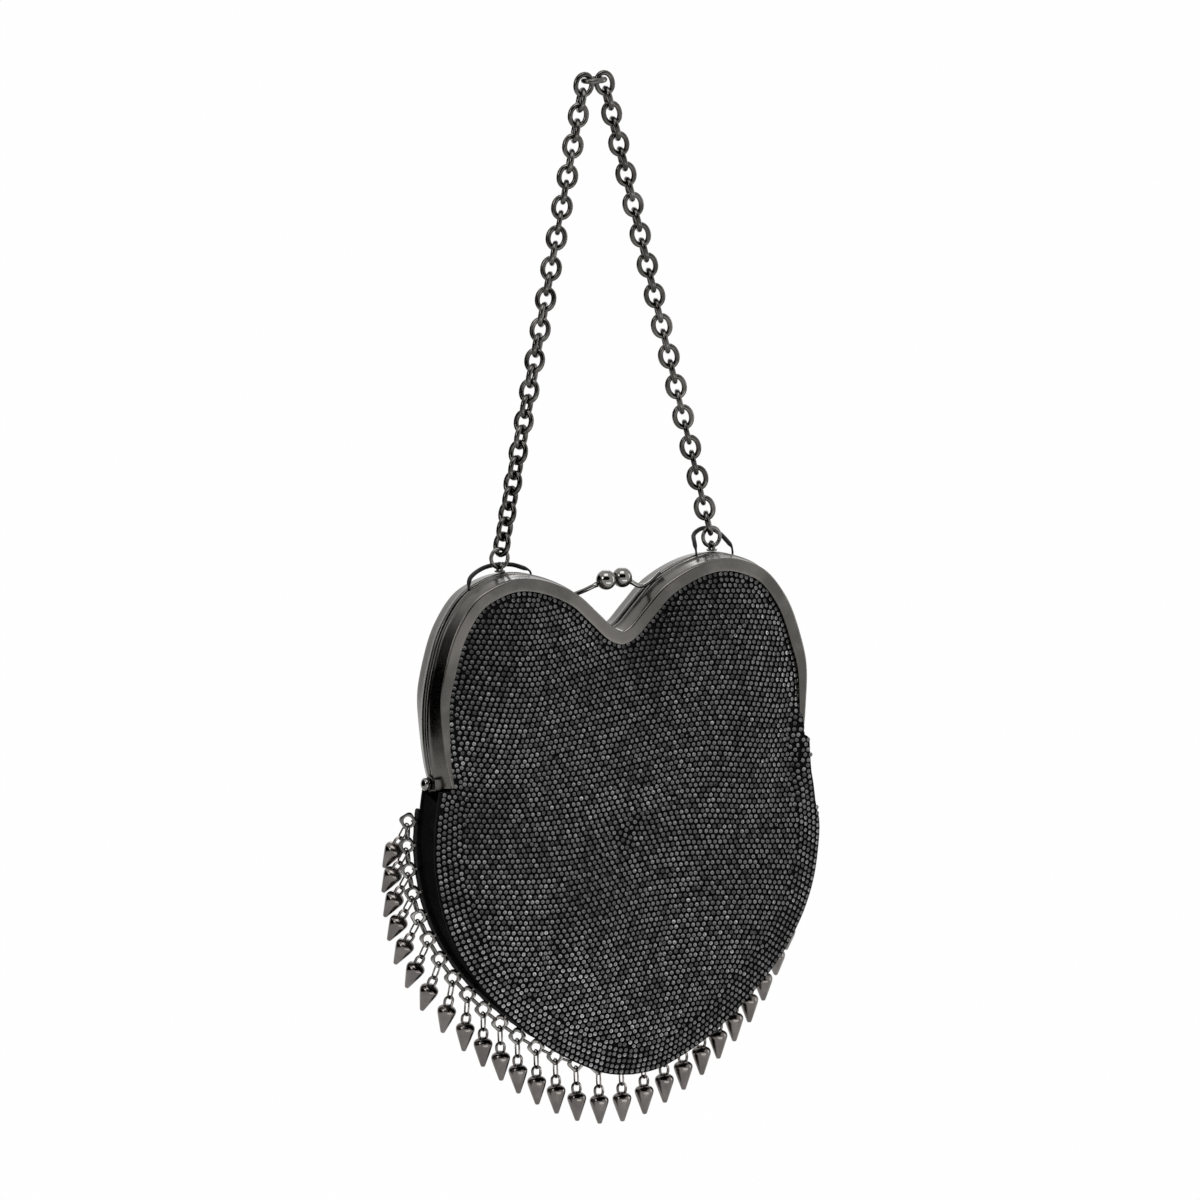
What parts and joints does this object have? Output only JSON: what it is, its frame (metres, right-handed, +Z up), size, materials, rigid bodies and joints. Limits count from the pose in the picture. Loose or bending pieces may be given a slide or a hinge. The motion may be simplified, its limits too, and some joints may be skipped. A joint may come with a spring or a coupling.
{
  "type": "mini bag",
  "caption": "Small evening bag with a heart-shaped hinged clasp frame, kiss lock, studded soft pouch, hanging cone fringe and a chain handle",
  "frame": {"origin": "middle of the top chain link, where the handle hangs", "axes": "+X to the right seen from the front, +Y to the rear of the bag, +Z up"},
  "size_m": [0.1812, 0.0334, 0.3998],
  "materials": {
    "gunmetal": "dark gunmetal plating, polished to satin",
    "satin_frame": "dark plated sheet, brushed face and polished side wall",
    "studded_cloth": "black cloth covered with small round gunmetal studs",
    "black_cloth": "matt black cloth",
    "black_cord": "black rolled loop, slight sheen"
  },
  "bodies": {
    "chain": {"chain_top_link": "gunmetal", "chain_left": "gunmetal", "chain_right": "gunmetal", "jump_ring_left": "gunmetal", "jump_ring_right": "gunmetal"},
    "rear_half": {"rear_frame": "satin_frame", "lug_left": "gunmetal", "lug_right": "gunmetal", "rivet_left": "gunmetal", "rivet_right": "gunmetal", "hinge_washer_left": "gunmetal", "hinge_washer_right": "gunmetal", "kiss_ball_left": "gunmetal", "kiss_arm_left": "gunmetal", "strap_loop_left": "black_cord", "strap_loop_right": "black_cord", "rear_panel": "studded_cloth", "gusset": "black_cloth", "notch_lining": "black_cloth", "fringe_trim": "gunmetal"},
    "front_half": {"front_frame": "satin_frame", "kiss_ball_right": "gunmetal", "kiss_arm_right": "gunmetal", "front_panel": "studded_cloth"},
    "hanging_spike_01": {"spike_01": "gunmetal"},
    "hanging_spike_02": {"spike_02": "gunmetal"},
    "hanging_spike_03": {"spike_03": "gunmetal"},
    "hanging_spike_04": {"spike_04": "gunmetal"},
    "hanging_spike_05": {"spike_05": "gunmetal"},
    "hanging_spike_06": {"spike_06": "gunmetal"},
    "hanging_spike_07": {"spike_07": "gunmetal"},
    "hanging_spike_08": {"spike_08": "gunmetal"},
    "hanging_spike_09": {"spike_09": "gunmetal"},
    "hanging_spike_10": {"spike_10": "gunmetal"},
    "hanging_spike_11": {"spike_11": "gunmetal"},
    "hanging_spike_12": {"spike_12": "gunmetal"},
    "hanging_spike_13": {"spike_13": "gunmetal"},
    "hanging_spike_14": {"spike_14": "gunmetal"},
    "hanging_spike_15": {"spike_15": "gunmetal"},
    "hanging_spike_16": {"spike_16": "gunmetal"},
    "hanging_spike_17": {"spike_17": "gunmetal"},
    "hanging_spike_18": {"spike_18": "gunmetal"},
    "hanging_spike_19": {"spike_19": "gunmetal"},
    "hanging_spike_20": {"spike_20": "gunmetal"},
    "hanging_spike_21": {"spike_21": "gunmetal"},
    "hanging_spike_22": {"spike_22": "gunmetal"},
    "hanging_spike_23": {"spike_23": "gunmetal"},
    "hanging_spike_24": {"spike_24": "gunmetal"},
    "hanging_spike_25": {"spike_25": "gunmetal"},
    "hanging_spike_26": {"spike_26": "gunmetal"},
    "hanging_spike_27": {"spike_27": "gunmetal"},
    "hanging_spike_28": {"spike_28": "gunmetal"},
    "hanging_spike_29": {"spike_29": "gunmetal"},
    "hanging_spike_30": {"spike_30": "gunmetal"},
    "hanging_spike_31": {"spike_31": "gunmetal"},
    "hanging_spike_32": {"spike_32": "gunmetal"}
  },
  "joints": [
    {"name": "bag_swing", "type": "hinge", "parent": "chain", "child": "rear_half", "pos_m": [0, 0, -0.18075], "axis": [1, 0, 0], "range_deg": [-70, 8]},
    {"name": "frame_open", "type": "hinge", "parent": "rear_half", "child": "front_half", "pos_m": [0, -0.0025, -0.2595], "axis": [1, 0, 0], "range_deg": [0, 65], "deforming": ["front_panel"]},
    {"name": "spike_01_swing", "type": "hinge", "parent": "rear_half", "child": "hanging_spike_01", "pos_m": [-0.08383, 0.0067, -0.27648], "axis": [0.9002, 0.4356, 0], "range_deg": [0, 35]},
    {"name": "spike_02_swing", "type": "hinge", "parent": "rear_half", "child": "hanging_spike_02", "pos_m": [-0.08447, 0.0067, -0.28575], "axis": [0.9002, 0.4356, 0], "range_deg": [0, 35]},
    {"name": "spike_03_swing", "type": "hinge", "parent": "rear_half", "child": "hanging_spike_03", "pos_m": [-0.08398, 0.0067, -0.2951], "axis": [0.9002, 0.4356, 0], "range_deg": [0, 35]},
    {"name": "spike_04_swing", "type": "hinge", "parent": "rear_half", "child": "hanging_spike_04", "pos_m": [-0.08259, 0.0067, -0.30419], "axis": [0.9002, 0.4356, 0], "range_deg": [0, 35]},
    {"name": "spike_05_swing", "type": "hinge", "parent": "rear_half", "child": "hanging_spike_05", "pos_m": [-0.08022, 0.0067, -0.31324], "axis": [0.9002, 0.4356, 0], "range_deg": [0, 35]},
    {"name": "spike_06_swing", "type": "hinge", "parent": "rear_half", "child": "hanging_spike_06", "pos_m": [-0.07648, 0.0067, -0.32191], "axis": [0.9002, 0.4356, 0], "range_deg": [0, 35]},
    {"name": "spike_07_swing", "type": "hinge", "parent": "rear_half", "child": "hanging_spike_07", "pos_m": [-0.07177, 0.0067, -0.33], "axis": [0.9002, 0.4356, 0], "range_deg": [0, 35]},
    {"name": "spike_08_swing", "type": "hinge", "parent": "rear_half", "child": "hanging_spike_08", "pos_m": [-0.06611, 0.0067, -0.33761], "axis": [0.9002, 0.4356, 0], "range_deg": [0, 35]},
    {"name": "spike_09_swing", "type": "hinge", "parent": "rear_half", "child": "hanging_spike_09", "pos_m": [-0.0598, 0.0067, -0.34444], "axis": [1, 0, 0], "range_deg": [-38, 38]},
    {"name": "spike_10_swing", "type": "hinge", "parent": "rear_half", "child": "hanging_spike_10", "pos_m": [-0.05319, 0.0067, -0.35074], "axis": [1, 0, 0], "range_deg": [-38, 38]},
    {"name": "spike_11_swing", "type": "hinge", "parent": "rear_half", "child": "hanging_spike_11", "pos_m": [-0.04621, 0.0067, -0.35657], "axis": [1, 0, 0], "range_deg": [-45, 45]},
    {"name": "spike_12_swing", "type": "hinge", "parent": "rear_half", "child": "hanging_spike_12", "pos_m": [-0.03901, 0.0067, -0.3621], "axis": [1, 0, 0], "range_deg": [-45, 45]},
    {"name": "spike_13_swing", "type": "hinge", "parent": "rear_half", "child": "hanging_spike_13", "pos_m": [-0.03115, 0.0067, -0.367], "axis": [1, 0, 0], "range_deg": [-45, 45]},
    {"name": "spike_14_swing", "type": "hinge", "parent": "rear_half", "child": "hanging_spike_14", "pos_m": [-0.02304, 0.0067, -0.37117], "axis": [1, 0, 0], "range_deg": [-45, 45]},
    {"name": "spike_15_swing", "type": "hinge", "parent": "rear_half", "child": "hanging_spike_15", "pos_m": [-0.01435, 0.0067, -0.3747], "axis": [1, 0, 0], "range_deg": [-45, 45]},
    {"name": "spike_16_swing", "type": "hinge", "parent": "rear_half", "child": "hanging_spike_16", "pos_m": [-0.00485, 0.0067, -0.37661], "axis": [1, 0, 0], "range_deg": [-45, 45]},
    {"name": "spike_17_swing", "type": "hinge", "parent": "rear_half", "child": "hanging_spike_17", "pos_m": [0.00485, 0.0067, -0.37661], "axis": [1, 0, 0], "range_deg": [-45, 45]},
    {"name": "spike_18_swing", "type": "hinge", "parent": "rear_half", "child": "hanging_spike_18", "pos_m": [0.01435, 0.0067, -0.3747], "axis": [1, 0, 0], "range_deg": [-45, 45]},
    {"name": "spike_19_swing", "type": "hinge", "parent": "rear_half", "child": "hanging_spike_19", "pos_m": [0.02304, 0.0067, -0.37117], "axis": [1, 0, 0], "range_deg": [-45, 45]},
    {"name": "spike_20_swing", "type": "hinge", "parent": "rear_half", "child": "hanging_spike_20", "pos_m": [0.03115, 0.0067, -0.367], "axis": [1, 0, 0], "range_deg": [-45, 45]},
    {"name": "spike_21_swing", "type": "hinge", "parent": "rear_half", "child": "hanging_spike_21", "pos_m": [0.03901, 0.0067, -0.3621], "axis": [1, 0, 0], "range_deg": [-45, 45]},
    {"name": "spike_22_swing", "type": "hinge", "parent": "rear_half", "child": "hanging_spike_22", "pos_m": [0.04621, 0.0067, -0.35657], "axis": [1, 0, 0], "range_deg": [-45, 45]},
    {"name": "spike_23_swing", "type": "hinge", "parent": "rear_half", "child": "hanging_spike_23", "pos_m": [0.05319, 0.0067, -0.35074], "axis": [1, 0, 0], "range_deg": [-38, 38]},
    {"name": "spike_24_swing", "type": "hinge", "parent": "rear_half", "child": "hanging_spike_24", "pos_m": [0.0598, 0.0067, -0.34444], "axis": [1, 0, 0], "range_deg": [-38, 38]},
    {"name": "spike_25_swing", "type": "hinge", "parent": "rear_half", "child": "hanging_spike_25", "pos_m": [0.06611, 0.0067, -0.33761], "axis": [0.9002, -0.4356, 0], "range_deg": [0, 35]},
    {"name": "spike_26_swing", "type": "hinge", "parent": "rear_half", "child": "hanging_spike_26", "pos_m": [0.07177, 0.0067, -0.33], "axis": [0.9002, -0.4356, 0], "range_deg": [0, 35]},
    {"name": "spike_27_swing", "type": "hinge", "parent": "rear_half", "child": "hanging_spike_27", "pos_m": [0.07648, 0.0067, -0.32191], "axis": [0.9002, -0.4356, 0], "range_deg": [0, 35]},
    {"name": "spike_28_swing", "type": "hinge", "parent": "rear_half", "child": "hanging_spike_28", "pos_m": [0.08022, 0.0067, -0.31324], "axis": [0.9002, -0.4356, 0], "range_deg": [0, 35]},
    {"name": "spike_29_swing", "type": "hinge", "parent": "rear_half", "child": "hanging_spike_29", "pos_m": [0.08259, 0.0067, -0.30419], "axis": [0.9002, -0.4356, 0], "range_deg": [0, 35]},
    {"name": "spike_30_swing", "type": "hinge", "parent": "rear_half", "child": "hanging_spike_30", "pos_m": [0.08398, 0.0067, -0.2951], "axis": [0.9002, -0.4356, 0], "range_deg": [0, 35]},
    {"name": "spike_31_swing", "type": "hinge", "parent": "rear_half", "child": "hanging_spike_31", "pos_m": [0.08447, 0.0067, -0.28575], "axis": [0.9002, -0.4356, 0], "range_deg": [0, 35]},
    {"name": "spike_32_swing", "type": "hinge", "parent": "rear_half", "child": "hanging_spike_32", "pos_m": [0.08383, 0.0067, -0.27648], "axis": [0.9002, -0.4356, 0], "range_deg": [0, 35]}
  ],
  "couplings": [
    {"joint": "spike_02_swing", "follows": "spike_01_swing", "ratio": 1},
    {"joint": "spike_03_swing", "follows": "spike_01_swing", "ratio": 1},
    {"joint": "spike_04_swing", "follows": "spike_01_swing", "ratio": 1},
    {"joint": "spike_05_swing", "follows": "spike_01_swing", "ratio": 1},
    {"joint": "spike_06_swing", "follows": "spike_01_swing", "ratio": 1},
    {"joint": "spike_07_swing", "follows": "spike_01_swing", "ratio": 1},
    {"joint": "spike_08_swing", "follows": "spike_01_swing", "ratio": 1},
    {"joint": "spike_25_swing", "follows": "spike_32_swing", "ratio": 1},
    {"joint": "spike_26_swing", "follows": "spike_32_swing", "ratio": 1},
    {"joint": "spike_27_swing", "follows": "spike_32_swing", "ratio": 1},
    {"joint": "spike_28_swing", "follows": "spike_32_swing", "ratio": 1},
    {"joint": "spike_29_swing", "follows": "spike_32_swing", "ratio": 1},
    {"joint": "spike_30_swing", "follows": "spike_32_swing", "ratio": 1},
    {"joint": "spike_31_swing", "follows": "spike_32_swing", "ratio": 1}
  ]
}
